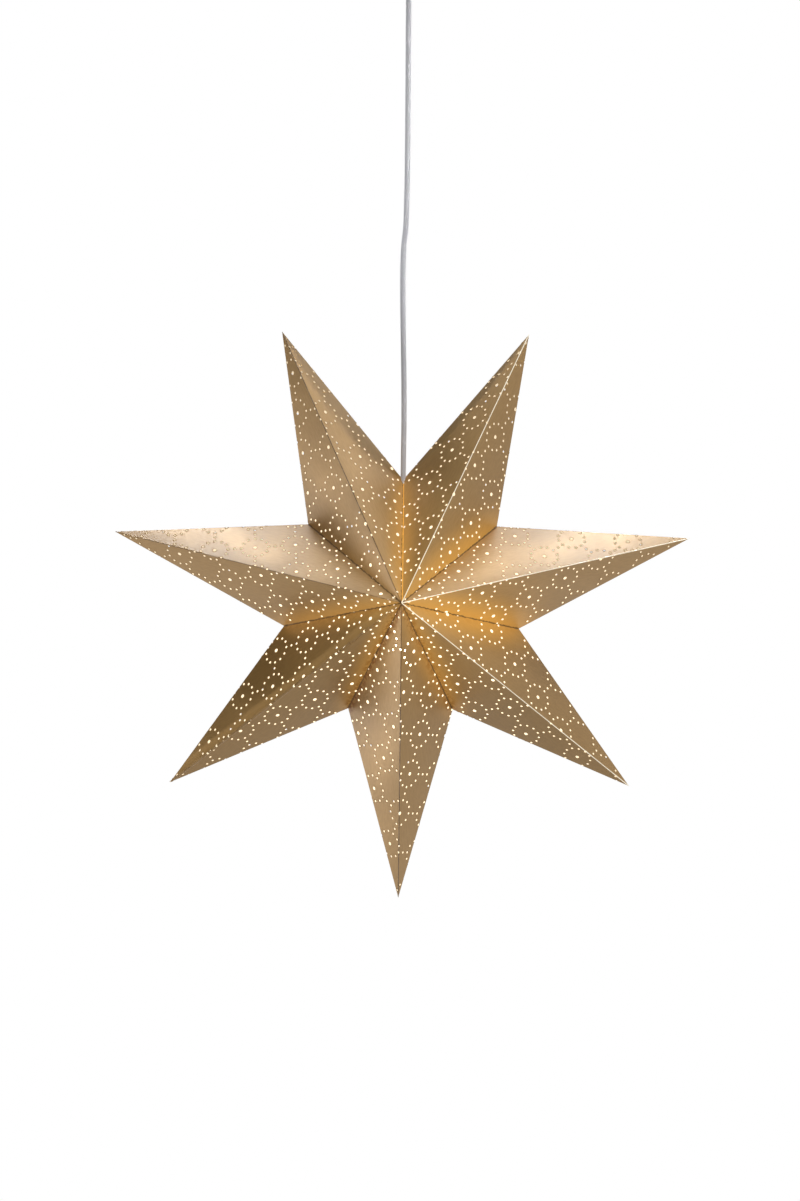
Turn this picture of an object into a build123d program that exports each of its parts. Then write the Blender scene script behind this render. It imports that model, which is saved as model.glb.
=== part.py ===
from build123d import *
import math
import os

# Advent star lamp: a seven-point folded paper star on a cord below a ceiling cup.
# Millimetres, +Z up, origin on the ceiling plane above the star, front of the star towards -Y.
os.makedirs("parts", exist_ok=True)

# Star
POINT_NAMES = ("bottom", "lower_right", "right", "upper_right", "upper_left", "left", "lower_left")
TURNED_BLANKS = ("right", "left")
star_radius = 315.0
valley_radius = 129.0
star_half_depth = 97.0
sheet = 0.5
flap_width = 12.0
flap_setback = 6.0
rosette_pitch = 42.7
rosette_hole = 3.6
rosette_hole_sides = 8
rosette_turn = 19.7
rosette_turn_step = 45.0
rosette_start_along = 6.4
rosette_start_across = 11.3
rosette_margin = 2.4

# Closing of the star at the top
cord_hole_radius = 4.4
cord_hole_depth = 40.0
hook_along_fold = 25.0
hook_across_flap = 6.0
clip_along_fold = 95.0
clip_length = 14.0
clip_leg = 8.0
clip_sheet = 0.6

# Hanger wire
wire_diameter = 1.6
wire_rise = 69.3
wire_hook_length = 8.0
wire_set_in = 2.4

# Cord and its two cores
cord_diameter = 5.6
cord_free_length = 626.0
core_diameter = 2.2
core_spread = 1.25

# Ceiling fitting
plate_radius = 34.0
plate_sheet = 1.5
wire_entry_radius = 7.0
wire_entry_offset = 15.0
ceiling_screw_spacing = 48.0
ceiling_screw_hole = 4.5
lug_width = 12.0
lug_height = 12.0
cup_radius = 44.0
cup_height = 50.0
cup_wall = 2.0
cup_rim_gap = 0.5
cup_edge = 5.0
cup_screw_diameter = 3.0
cup_screw_head = 5.6
cup_screw_head_height = 2.0
cup_screw_drop = 7.0
block_length = 20.0
block_width = 14.0
block_height = 12.0
block_offset = 17.0
pole_spacing = 10.0
tail_rise = 20.0
tail_core_rise = 9.0
tail_core_lead = 4.5
gland_radius = 9.0
gland_height = 17.0
gland_thread = 10.0
gland_thread_length = 8.0
gland_nut_across = 15.0
gland_nut_height = 4.0
outlet_depth = 8.0
swing_limit = 20.0

# Lamp holder
neck_radius = 7.5
neck_height = 14.0
groove_radius = 5.6
groove_drop = 6.0
cap_radius = 14.5
cap_height = 34.0
cap_shoulder = 24.0
cap_wall = 1.8
spigot_height = 6.0
collar_radius = 16.0
collar_height = 3.0
body_radius = 13.0
body_bore = 10.9
body_length = 30.0
ring_radius = 19.0
ring_height = 6.0
ring_lip = 2.2
insert_drop = 29.0
insert_height = 8.0
insert_skirt_wall = 1.7
ledge_height = 2.0
shell_wall = 0.4
shell_length = 22.0
contact_sheet = 0.5
contact_width = 4.0
contact_reach = 5.5
contact_drop = 1.6
terminal_width = 5.0
terminal_length = 7.0
terminal_height = 5.0
terminal_offset = 5.5
grip_drop = 3.5
grip_height = 9.0
grip_wall = 1.6
grip_slot = 1.2
sheath_past_neck = 1.0
holder_core_lead = 2.5

# Bulb
bulb_radius = 12.5
bulb_length = 78.0
bulb_neck_radius = 6.4
bulb_shoulder = 9.0
bulb_tip = 5.0
bulb_cap_radius = 6.9
bulb_cap_wall = 0.35
bulb_cap_length = 17.0
bulb_seal_gap = 3.0
bulb_insulator_height = 3.6
bulb_insulator_radius = 4.6
bulb_contact_radius = 2.4
bulb_contact_height = 1.5

# Clearances
running = 0.3
close_fit = 0.15

# Levels and radii that follow from the sizes above
cord_radius = cord_diameter / 2
core_radius = core_diameter / 2
wire_radius = wire_diameter / 2
swing = math.radians(swing_limit)
cup_floor = -cup_height
gland_bottom = cup_floor - gland_height
pivot = gland_bottom + outlet_depth
outlet_neck = cord_radius / math.cos(swing) + running
outlet_mouth = outlet_neck + outlet_depth * math.tan(swing)
tail_bottom = pivot + cord_radius + running
tail_top = cup_floor + tail_rise
block_bore_level = -plate_sheet - block_height / 2
holder_top = pivot - cord_free_length
groove_middle = holder_top - groove_drop
sheath_end = holder_top - neck_height - sheath_past_neck
cap_bottom = holder_top - cap_height
cap_bore = cap_radius - cap_wall
cord_bore = cord_radius + close_fit
grip_bore = cord_bore + grip_wall + close_fit
collar_bottom = cap_bottom - collar_height
insert_top = holder_top - insert_drop
insert_bottom = insert_top - insert_height
shell_bore = bulb_cap_radius + running
skirt_bore = shell_bore + shell_wall + close_fit
skirt_radius = skirt_bore + insert_skirt_wall
bulb_top = insert_bottom - contact_drop - contact_sheet - running
bulb_cap_top = bulb_top - bulb_contact_height - bulb_insulator_height
bulb_bottom = bulb_top - bulb_length
globe_top = bulb_cap_top - bulb_cap_wall - bulb_seal_gap
half_step = math.pi / len(POINT_NAMES)
seam_length = math.hypot(valley_radius, star_half_depth)
seam_down = valley_radius / seam_length
seam_out = star_half_depth / seam_length
hook_level = valley_radius - hook_along_fold * seam_down - hook_across_flap * seam_out
hook_reach = hook_along_fold * seam_out - hook_across_flap * seam_down
star_level = groove_middle + wire_rise - hook_level


def star_place(angle, radius):
    """A place in the star's middle plane."""
    return Vector(radius * math.cos(angle), 0, star_level + radius * math.sin(angle))


def rosette_places(side, behind, turn, ridge_length, fold_length, apex_angle):
    """Rosette centres on one panel, as distances from the tip along its ridge and across it."""
    room = rosette_hole / 2 + rosette_margin
    reach = math.ceil(ridge_length / rosette_pitch) + 1
    valley = Vector(fold_length * math.cos(apex_angle), fold_length * math.sin(apex_angle))
    seam = valley - Vector(ridge_length, 0)
    seam_normal = Vector(-seam.Y, seam.X).normalized()
    places = []
    for row in range(-reach, reach + 1):
        for column in range(-reach, reach + 1):
            along = rosette_start_along + row * rosette_pitch
            across = rosette_start_across + column * rosette_pitch
            distance = math.hypot(along, across)
            from_front_ridge = side * (math.atan2(across, along) + turn)
            from_ridge = 2 * apex_angle - from_front_ridge if behind else from_front_ridge
            place = Vector(distance * math.cos(from_ridge), distance * math.sin(from_ridge))
            to_fold = distance * math.sin(apex_angle - from_ridge)
            to_seam = (place - Vector(ridge_length, 0)).dot(seam_normal)
            if place.Y > room and to_fold > room and to_seam > room:
                places.append((place.X, place.Y))
    return places


# Seven star points, each one sheet folded round its tip into four panels, with glued flaps inside
star_middle = Vector(0, 0, star_level)
front_apex = star_middle + Vector(0, -star_half_depth, 0)
back_apex = star_middle + Vector(0, star_half_depth, 0)
for index, point_name in enumerate(POINT_NAMES):
    angle = -math.pi / 2 + 2 * half_step * index
    turn = math.radians(rosette_turn)
    if point_name in TURNED_BLANKS:
        turn -= math.radians(rosette_turn_step)
    axis = Vector(math.cos(angle), 0, math.sin(angle))
    tip = star_place(angle, star_radius)
    valleys = {side: star_place(angle + side * half_step, valley_radius) for side in (1, -1)}
    corners = [tip, front_apex, back_apex, *valleys.values()]
    ridge = front_apex - tip
    fold = valleys[1] - tip
    apex_angle = math.radians(ridge.get_angle(fold))
    inner_shift = axis * (-sheet / abs(ridge.cross(fold).normalized().dot(axis)))
    with BuildPart() as point:
        ConvexPolyhedron(corners)
        ConvexPolyhedron([corner + inner_shift for corner in corners], mode=Mode.SUBTRACT)
        for side, valley in valleys.items():
            seam_angle = angle + side * half_step
            outward = Vector(-math.sin(seam_angle), 0, math.cos(seam_angle)) * side
            for apex in (front_apex, back_apex):
                seam_plane = Plane(valley, x_dir=apex - valley, z_dir=outward)
                inward = math.copysign(flap_width, seam_plane.y_dir.dot(star_middle - valley))
                with BuildSketch(seam_plane):
                    with BuildLine():
                        Polyline(
                            (flap_setback, 0),
                            (seam_length - flap_setback, 0),
                            (seam_length - flap_setback - flap_width, inward),
                            (flap_setback + flap_width, inward),
                            close=True,
                        )
                    make_face()
                extrude(amount=-sheet)
                panel = Plane(tip, x_dir=apex - tip, z_dir=(apex - tip).cross(valley - tip))
                places = rosette_places(
                    side, apex is back_apex, turn, ridge.length, fold.length, apex_angle
                )
                with BuildSketch(panel):
                    with Locations(*places):
                        RegularPolygon(rosette_hole / 2, rosette_hole_sides)
                extrude(amount=2 * sheet, both=True, mode=Mode.SUBTRACT)
        if point_name.startswith("upper"):
            with BuildSketch(Plane.XY.offset(star_level + valley_radius + flap_width)):
                Circle(cord_hole_radius)
            extrude(amount=-cord_hole_depth, mode=Mode.SUBTRACT)
            with BuildSketch(Plane.YZ):
                with Locations((-hook_reach, star_level + hook_level)):
                    Circle(wire_radius + running)
                with Locations((hook_reach, star_level + hook_level)):
                    Circle(wire_radius + running)
            extrude(amount=2 * sheet, both=True, mode=Mode.SUBTRACT)
    point.part.label = f"{point_name}_point"
    export_step(point.part, f"parts/{point_name}_point.step")

# Spring clips that close the star's last seam, on the flaps' inner edges
for clip_name, depth_side in (("front_clip", -1), ("back_clip", 1)):
    along_fold = Vector(0, depth_side * seam_out, -seam_down)
    inward = Vector(0, -depth_side * seam_down, -seam_out)
    top_valley = star_middle + Vector(0, 0, valley_radius)
    clip_place = top_valley + along_fold * clip_along_fold + inward * flap_width
    clip_gap = 2 * (sheet + close_fit)
    with BuildPart() as clip:
        with BuildSketch(Plane(clip_place, x_dir=(1, 0, 0), z_dir=along_fold * -depth_side)):
            with Locations((0, -close_fit - clip_sheet)):
                Rectangle(
                    clip_gap + 2 * clip_sheet,
                    clip_leg + clip_sheet,
                    align=(Align.CENTER, Align.MIN),
                )
            with Locations((0, -close_fit)):
                Rectangle(clip_gap, clip_leg, align=(Align.CENTER, Align.MIN), mode=Mode.SUBTRACT)
        extrude(amount=clip_length / 2, both=True)
    clip.part.label = clip_name
    export_step(clip.part, f"parts/{clip_name}.step")

# Wire hanger: a U in the holder's groove, two arms and two hooks through the flaps
loop_reach = groove_radius + running + wire_radius
arm_place = -(sheet + wire_set_in)
hook_top = groove_middle + wire_rise
with BuildPart() as hanger_wire:
    with BuildLine() as hanger_line:
        Polyline(
            (arm_place + wire_hook_length, -hook_reach, hook_top),
            (arm_place, -hook_reach, hook_top),
            (arm_place, -hook_reach, groove_middle),
            (loop_reach, -loop_reach, groove_middle),
            (loop_reach, loop_reach, groove_middle),
            (arm_place, hook_reach, groove_middle),
            (arm_place, hook_reach, hook_top),
            (arm_place + wire_hook_length, hook_reach, hook_top),
        )
    with BuildSketch(Plane(hanger_line.line @ 0, z_dir=hanger_line.line % 0)):
        Circle(wire_radius)
    sweep(transition=Transition.RIGHT)
hanger_wire.part.label = "hanger_wire"
export_step(hanger_wire.part, "parts/hanger_wire.step")

# Round ceiling plate with two bent lugs, screw holes and an entry for the house wires
lug_reach = math.sqrt((cup_radius - cup_wall - running) ** 2 - (lug_width / 2) ** 2)
with BuildPart() as ceiling_plate:
    with BuildSketch():
        Circle(plate_radius)
        Rectangle(2 * lug_reach, lug_width)
        with Locations((0, -wire_entry_offset)):
            Circle(wire_entry_radius, mode=Mode.SUBTRACT)
        with GridLocations(ceiling_screw_spacing, 1, 2, 1):
            Circle(ceiling_screw_hole / 2, mode=Mode.SUBTRACT)
    extrude(amount=-plate_sheet)
    with BuildSketch():
        with GridLocations(2 * lug_reach - plate_sheet, 1, 2, 1):
            Rectangle(plate_sheet, lug_width)
    extrude(amount=-lug_height)
    with BuildSketch(Plane.YZ):
        with Locations((0, -cup_screw_drop)):
            Circle(cup_screw_diameter / 2 + close_fit)
    extrude(amount=lug_reach, both=True, mode=Mode.SUBTRACT)
ceiling_plate.part.label = "ceiling_plate"
export_step(ceiling_plate.part, "parts/ceiling_plate.step")

# Ceiling cup over the plate and its lugs, with a chamfered lower edge
with BuildPart() as ceiling_cup:
    with BuildSketch(Plane.XZ):
        with BuildLine():
            Polyline(
                (cup_radius, -cup_rim_gap),
                (cup_radius, cup_floor + cup_edge),
                (cup_radius - cup_edge, cup_floor),
                (gland_thread / 2 + close_fit, cup_floor),
                (gland_thread / 2 + close_fit, cup_floor + cup_wall),
                (cup_radius - cup_edge, cup_floor + cup_wall),
                (cup_radius - cup_wall, cup_floor + cup_edge),
                (cup_radius - cup_wall, -cup_rim_gap),
                close=True,
            )
        make_face()
    revolve(axis=Axis.Z)
    with BuildSketch(Plane.YZ):
        with Locations((0, -cup_screw_drop)):
            Circle(cup_screw_diameter / 2 + close_fit)
    extrude(amount=cup_radius, both=True, mode=Mode.SUBTRACT)
ceiling_cup.part.label = "ceiling_cup"
export_step(ceiling_cup.part, "parts/ceiling_cup.step")

# Two side screws that hold the cup on the plate's lugs
with BuildPart() as cup_screws:
    for side in (-1, 1):
        with BuildSketch(Plane.YZ.offset(side * cup_radius)):
            with Locations((0, -cup_screw_drop)):
                Circle(cup_screw_head / 2)
        extrude(amount=side * cup_screw_head_height)
        with BuildSketch(Plane.YZ.offset(side * cup_radius)):
            with Locations((0, -cup_screw_drop)):
                Circle(cup_screw_diameter / 2)
        extrude(amount=-side * (cup_radius - lug_reach + 2 * plate_sheet))
cup_screws.part.label = "cup_screws"
export_step(cup_screws.part, "parts/cup_screws.step")

# Two-pole terminal block under the plate
with BuildPart() as terminal_block:
    with BuildSketch(Plane.XY.offset(-plate_sheet)):
        with Locations((0, block_offset)):
            Rectangle(block_length, block_width)
    extrude(amount=-block_height)
    with BuildSketch(Plane.XZ):
        with Locations((0, block_bore_level)):
            with GridLocations(pole_spacing, 1, 2, 1):
                Circle(core_radius + running)
    extrude(amount=-block_offset - block_width, mode=Mode.SUBTRACT)
terminal_block.part.label = "terminal_block"
export_step(terminal_block.part, "parts/terminal_block.step")

# Cord outlet below the cup, flared so that the cord can swing, and its nut
with BuildPart() as cord_outlet:
    with BuildSketch(Plane.XZ):
        with BuildLine():
            Polyline(
                (cord_bore, cup_floor + gland_thread_length),
                (gland_thread / 2, cup_floor + gland_thread_length),
                (gland_thread / 2, cup_floor),
                (gland_radius, cup_floor),
                (gland_radius, gland_bottom),
                (outlet_mouth, gland_bottom),
                (outlet_neck, pivot),
                (outlet_neck, tail_bottom),
                (cord_bore, tail_bottom),
                close=True,
            )
        make_face()
    revolve(axis=Axis.Z)
cord_outlet.part.label = "cord_outlet"
export_step(cord_outlet.part, "parts/cord_outlet.step")

with BuildPart() as outlet_nut:
    with BuildSketch(Plane.XY.offset(cup_floor + cup_wall)):
        RegularPolygon(gland_nut_across / 2, 6, major_radius=False)
        Circle(gland_thread / 2 + close_fit, mode=Mode.SUBTRACT)
    extrude(amount=gland_nut_height)
outlet_nut.part.label = "outlet_nut"
export_step(outlet_nut.part, "parts/outlet_nut.step")

# Cord's upper end inside the cup, and its two bared cores that run into the terminal block
with BuildPart() as cord_tail:
    with BuildSketch(Plane.XY.offset(tail_bottom)):
        Circle(cord_radius)
    extrude(amount=tail_top - tail_bottom)
cord_tail.part.label = "cord_tail"
export_step(cord_tail.part, "parts/cord_tail.step")

block_face = block_offset - block_width / 2
for core_name, side in (("ceiling_live_core", 1), ("ceiling_neutral_core", -1)):
    route = [
        (side * core_spread, 0, tail_top),
        (side * core_spread, 0, tail_top + tail_core_rise),
        (side * pole_spacing / 2, block_face - tail_core_lead, block_bore_level),
        (side * pole_spacing / 2, block_face + tail_core_lead, block_bore_level),
    ]
    with BuildPart() as core:
        with BuildLine() as core_line:
            Polyline(*route)
        with BuildSketch(Plane(core_line.line @ 0, z_dir=core_line.line % 0)):
            Circle(core_radius)
        sweep(transition=Transition.RIGHT)
    core.part.label = core_name
    export_step(core.part, f"parts/{core_name}.step")

# Cord from the outlet down to the lamp holder, taut under the lamp's weight
with BuildPart() as cord_drop:
    with BuildSketch(Plane.XY.offset(pivot)):
        Circle(cord_radius)
    extrude(amount=sheath_end - pivot)
    with Locations((0, 0, pivot)):
        Sphere(cord_radius)
cord_drop.part.label = "cord_drop"
export_step(cord_drop.part, "parts/cord_drop.step")
cord_section = math.pi * cord_radius**2
print("cord drop: straight, no radii; volume", round(cord_drop.part.volume))
print("section times length", round(cord_section * (pivot - sheath_end + 2 / 3 * cord_radius)))

# Lamp holder cap: grooved neck, sloping shoulder and a bore for the cord grip
with BuildPart() as holder_cap:
    with BuildSketch(Plane.XZ):
        with BuildLine():
            Polyline(
                (cord_bore, holder_top),
                (neck_radius, holder_top),
                (neck_radius, groove_middle + wire_radius + running),
                (groove_radius, groove_middle + wire_radius + running),
                (groove_radius, groove_middle - wire_radius - running),
                (neck_radius, groove_middle - wire_radius - running),
                (neck_radius, holder_top - neck_height),
                (cap_radius, holder_top - cap_shoulder),
                (cap_radius, cap_bottom),
                (cap_bore, cap_bottom),
                (cap_bore, holder_top - cap_shoulder - cap_wall),
                (grip_bore, holder_top - neck_height - cap_wall),
                (grip_bore, holder_top - grip_drop),
                (cord_bore, holder_top - grip_drop),
                close=True,
            )
        make_face()
    revolve(axis=Axis.Z)
holder_cap.part.label = "holder_cap"
export_step(holder_cap.part, "parts/holder_cap.step")

# Split cord grip inside the neck
with BuildPart() as cord_grip:
    with BuildSketch(Plane.XY.offset(holder_top - grip_drop)):
        Circle(cord_bore + grip_wall)
        Circle(cord_bore, mode=Mode.SUBTRACT)
        with Locations((grip_bore / 2, 0)):
            Rectangle(grip_bore, grip_slot, mode=Mode.SUBTRACT)
    extrude(amount=-grip_height)
cord_grip.part.label = "cord_grip"
export_step(cord_grip.part, "parts/cord_grip.step")

# Lamp holder body: spigot inside the cap, stop collar, long sleeve and a ledge for the insert
with BuildPart() as holder_body:
    with BuildSketch(Plane.XZ):
        with BuildLine():
            Polyline(
                (body_bore, cap_bottom + spigot_height),
                (cap_bore - close_fit, cap_bottom + spigot_height),
                (cap_bore - close_fit, cap_bottom),
                (collar_radius, cap_bottom),
                (collar_radius, collar_bottom),
                (body_radius, collar_bottom),
                (body_radius, cap_bottom - body_length),
                (body_bore, cap_bottom - body_length),
                (body_bore, insert_bottom - ledge_height),
                (skirt_radius + close_fit, insert_bottom - ledge_height),
                (skirt_radius + close_fit, insert_bottom),
                (body_bore, insert_bottom),
                close=True,
            )
        make_face()
    revolve(axis=Axis.Z)
holder_body.part.label = "holder_body"
export_step(holder_body.part, "parts/holder_body.step")

# Shade ring screwed on the sleeve below the collar
ring_bore = body_radius + close_fit
with BuildPart() as shade_ring:
    with BuildSketch(Plane.XZ):
        with BuildLine():
            Polyline(
                (ring_bore, collar_bottom),
                (ring_radius, collar_bottom),
                (ring_radius, collar_bottom - ring_lip),
                (ring_bore + ring_lip, collar_bottom - ring_height),
                (ring_bore, collar_bottom - ring_height),
                close=True,
            )
        make_face()
    revolve(axis=Axis.Z)
shade_ring.part.label = "shade_ring"
export_step(shade_ring.part, "parts/shade_ring.step")

# Insulating insert with a skirt round the screw shell
with BuildPart() as holder_insert:
    with BuildSketch(Plane.XY.offset(insert_top)):
        Circle(body_bore - close_fit)
    extrude(amount=-insert_height)
    with BuildSketch(Plane.XY.offset(insert_bottom)):
        Circle(skirt_radius)
        Circle(skirt_bore, mode=Mode.SUBTRACT)
    extrude(amount=-shell_length)
holder_insert.part.label = "holder_insert"
export_step(holder_insert.part, "parts/holder_insert.step")

with BuildPart() as screw_shell:
    with BuildSketch(Plane.XY.offset(insert_bottom)):
        Circle(shell_bore + shell_wall)
        Circle(shell_bore, mode=Mode.SUBTRACT)
    extrude(amount=-shell_length)
screw_shell.part.label = "screw_shell"
export_step(screw_shell.part, "parts/screw_shell.step")

# Centre contact, a sprung tongue bent down towards the bulb
with BuildPart() as centre_contact:
    with BuildSketch(Plane.XZ):
        with BuildLine():
            Polyline(
                (-contact_reach, insert_bottom),
                (-contact_reach / 2, insert_bottom),
                (0, insert_bottom - contact_drop),
                (contact_reach / 2, insert_bottom - contact_drop),
                (contact_reach / 2, insert_bottom - contact_drop - contact_sheet),
                (-contact_sheet / 2, insert_bottom - contact_drop - contact_sheet),
                (-contact_reach / 2 - contact_sheet / 2, insert_bottom - contact_sheet),
                (-contact_reach, insert_bottom - contact_sheet),
                close=True,
            )
        make_face()
    extrude(amount=contact_width / 2, both=True)
centre_contact.part.label = "centre_contact"
export_step(centre_contact.part, "parts/centre_contact.step")

# Brass terminals on the insert
with BuildPart() as holder_terminals:
    with BuildSketch(Plane.XY.offset(insert_top)):
        with GridLocations(2 * terminal_offset, 1, 2, 1):
            Rectangle(terminal_width, terminal_length)
            Circle(core_radius + close_fit, mode=Mode.SUBTRACT)
    extrude(amount=terminal_height)
holder_terminals.part.label = "holder_terminals"
export_step(holder_terminals.part, "parts/holder_terminals.step")

# Bared cores from the cord's lower end into the terminals
terminal_top = insert_top + terminal_height
for core_name, side in (("holder_live_core", 1), ("holder_neutral_core", -1)):
    route = [
        (side * core_spread, 0, sheath_end),
        (side * core_spread, 0, sheath_end - holder_core_lead),
        (side * terminal_offset, 0, terminal_top + holder_core_lead),
        (side * terminal_offset, 0, insert_top + core_radius),
    ]
    with BuildPart() as core:
        with BuildLine() as core_line:
            Polyline(*route)
        with BuildSketch(Plane(core_line.line @ 0, z_dir=core_line.line % 0)):
            Circle(core_radius)
        sweep(transition=Transition.RIGHT)
    core.part.label = core_name
    export_step(core.part, f"parts/{core_name}.step")

# Bulb: an opal tube with a neck above and a tapered tip below, closed and so left solid inside
shoulder_top = bulb_cap_top - bulb_cap_length
with BuildPart() as bulb_globe:
    with BuildSketch(Plane.XZ):
        with BuildLine():
            Polyline(
                (0, globe_top),
                (bulb_neck_radius, globe_top),
                (bulb_neck_radius, shoulder_top),
                (bulb_radius, shoulder_top - bulb_shoulder),
                (bulb_radius, bulb_bottom + bulb_tip),
                (bulb_radius - bulb_tip, bulb_bottom),
                (0, bulb_bottom),
                close=True,
            )
        make_face()
    revolve(axis=Axis.Z)
bulb_globe.part.label = "bulb_globe"
export_step(bulb_globe.part, "parts/bulb_globe.step")

# Bulb's screw cap, insulator and end contact
with BuildPart() as bulb_cap:
    with BuildSketch(Plane.XY.offset(bulb_cap_top)):
        Circle(bulb_cap_radius)
    extrude(amount=-bulb_cap_length)
    with BuildSketch(Plane.XY.offset(bulb_cap_top - bulb_cap_wall)):
        Circle(bulb_cap_radius - bulb_cap_wall)
    extrude(amount=-bulb_cap_length, mode=Mode.SUBTRACT)
bulb_cap.part.label = "bulb_cap"
export_step(bulb_cap.part, "parts/bulb_cap.step")

with BuildPart() as bulb_insulator:
    with Locations((0, 0, bulb_cap_top)):
        Cone(
            bulb_insulator_radius,
            bulb_contact_radius,
            bulb_insulator_height,
            align=(Align.CENTER, Align.CENTER, Align.MIN),
        )
bulb_insulator.part.label = "bulb_insulator"
export_step(bulb_insulator.part, "parts/bulb_insulator.step")

with BuildPart() as bulb_contact:
    with Locations((0, 0, bulb_cap_top + bulb_insulator_height)):
        Cone(
            bulb_contact_radius,
            bulb_contact_radius / 2,
            bulb_contact_height,
            align=(Align.CENTER, Align.CENTER, Align.MIN),
        )
bulb_contact.part.label = "bulb_contact"
export_step(bulb_contact.part, "parts/bulb_contact.step")
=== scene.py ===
import math
from typing import NamedTuple

import bmesh
import bpy
from bpy.props import FloatProperty, FloatVectorProperty, IntProperty, PointerProperty
from mathutils import Euler, Matrix, Vector


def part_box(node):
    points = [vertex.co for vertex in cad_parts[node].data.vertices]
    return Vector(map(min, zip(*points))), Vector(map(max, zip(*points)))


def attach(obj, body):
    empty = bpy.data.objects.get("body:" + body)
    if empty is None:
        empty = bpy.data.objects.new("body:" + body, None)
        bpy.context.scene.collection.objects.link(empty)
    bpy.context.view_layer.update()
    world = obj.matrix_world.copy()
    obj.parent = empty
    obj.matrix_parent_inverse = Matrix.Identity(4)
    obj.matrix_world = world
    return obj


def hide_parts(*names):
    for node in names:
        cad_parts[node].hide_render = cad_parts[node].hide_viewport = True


bl_info = {
    "name": "Advent star lamp",
    "version": (1, 0, 0),
    "blender": (4, 5, 0),
    "location": "3D View > Sidebar > Advent star",
    "description": "Dresses the packed frame of a folded and punched paper star lamp",
    "category": "Object",
}

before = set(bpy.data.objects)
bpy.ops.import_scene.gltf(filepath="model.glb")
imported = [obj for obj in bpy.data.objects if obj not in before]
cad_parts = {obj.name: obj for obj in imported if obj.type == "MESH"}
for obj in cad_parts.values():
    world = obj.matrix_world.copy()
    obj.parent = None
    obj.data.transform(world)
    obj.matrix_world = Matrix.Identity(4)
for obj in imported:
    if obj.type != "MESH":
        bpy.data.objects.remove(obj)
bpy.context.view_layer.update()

# The star's own sizes, read from the solids of the frame
POINT_NAMES = ("bottom", "lower_right", "right", "upper_right", "upper_left", "left", "lower_left")
POINT_STEP = math.tau / len(POINT_NAMES)
TIP_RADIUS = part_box("right_point")[1].x / math.cos(POINT_STEP / 4)
VALLEY_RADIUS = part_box("bottom_point")[1].x / math.sin(POINT_STEP / 2)
HALF_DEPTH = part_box("bottom_point")[1].y
STAR_MIDDLE = Vector((0, 0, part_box("bottom_point")[0].z + TIP_RADIUS))
BULB_MIDDLE = sum(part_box("bulb_globe"), Vector()) / 2

# Accuracy of the meshes, in metres
WELD_DISTANCE = 1e-5
CUT_ACCURACY = 1e-7

# How the paper bends
CREASE_ANGLE = math.radians(8)  # it is creased where it bends more than this
LEVEL_FROM_RIDGE = 0.03  # where a rounded panel lies level, measured from its ridge


class Blank(NamedTuple):
    """How one point's sheet was cut and folded.

    The pattern is punched before the blanks are cut, so it lies differently on each: turned from
    the front ridge, in degrees, and moved along and across from the tip, in metres. Pairs are for
    the sides clockwise and counter-clockwise of the ridge, seen from the front.
    """

    turn: float
    along: float
    across: float
    ridge_painted_light: float = 0.0  # above 0 a pale painted highlight lies along the ridge and glows a little, below 0 a dark painted shade
    ridge_round: float = 0.0008  # width of the rounded fold on each side of the ridge
    tip_set: tuple = (0, 0, 0)  # how far the tip has settled out of its regular place
    seam_light: tuple = (0, 0)  # lamplight at the seams, 0 to 1
    slit_glow: float = 0.0  # how bright painted lamplight glows along the counter-clockwise seam, as if it stood open, 0 to 1
    ridge_roll: tuple = (0, 0)  # width of the softly rolled paper beside the ridge
    edge_roll: tuple = (0, 0)  # width of the rolled outer edges
    glue: tuple = (0, 0)  # how much glue shows at the seams, 0 to 1


BLANKS = {
    "bottom": Blank(
        20.0,
        0.0071,
        0.0099,
        ridge_painted_light=-0.7,
        tip_set=(0, 0, -0.0045),
        seam_light=(0.1, 0.35),
        glue=(1.0, 0.8),
    ),
    "lower_right": Blank(
        23.1, 0.0100, 0.0035, ridge_painted_light=1.0, seam_light=(0.55, 0.9), glue=(0.9, 0.2)
    ),
    "right": Blank(66.9, 0.0401, 0.0305, ridge_painted_light=0.9, seam_light=(1.0, 0.05)),
    "upper_right": Blank(
        13.2,
        0.0237,
        0.0389,
        ridge_painted_light=1.0,
        tip_set=(-0.0042, 0, 0.0015),
        seam_light=(0.8, 0.4),
        slit_glow=1.0,
        edge_roll=(0, 0.014),
    ),
    "upper_left": Blank(
        24.0,
        0.0032,
        0.0335,
        ridge_painted_light=-0.7,
        tip_set=(0.0058, 0, 0.0015),
        seam_light=(0.5, 0.05),
        edge_roll=(0.032, 0),
    ),
    "left": Blank(64.4, 0.0414, 0.0211, ridge_painted_light=-0.5, seam_light=(0.0, 0.6)),
    "lower_left": Blank(
        22.4,
        0.0093,
        0.0080,
        ridge_painted_light=-0.3,
        ridge_round=0.0025,
        tip_set=(0, 0, -0.0015),
        seam_light=(0.35, 0.5),
        ridge_roll=(0.014, 0),
        glue=(0.3, 1.0),
    ),
}


def length_setting(name, description, default):
    """A size in metres."""
    return FloatProperty(name=name, description=description, default=default, unit="LENGTH")


def angle_setting(name, description, default):
    """An angle, with its default in degrees."""
    default = math.radians(default)
    return FloatProperty(name=name, description=description, default=default, subtype="ANGLE")


def number_setting(name, description, default):
    """A plain number."""
    return FloatProperty(name=name, description=description, default=default)


def colour_setting(name, description, default):
    """A colour."""
    return FloatVectorProperty(
        name=name, description=description, default=default, subtype="COLOR"
    )


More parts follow.
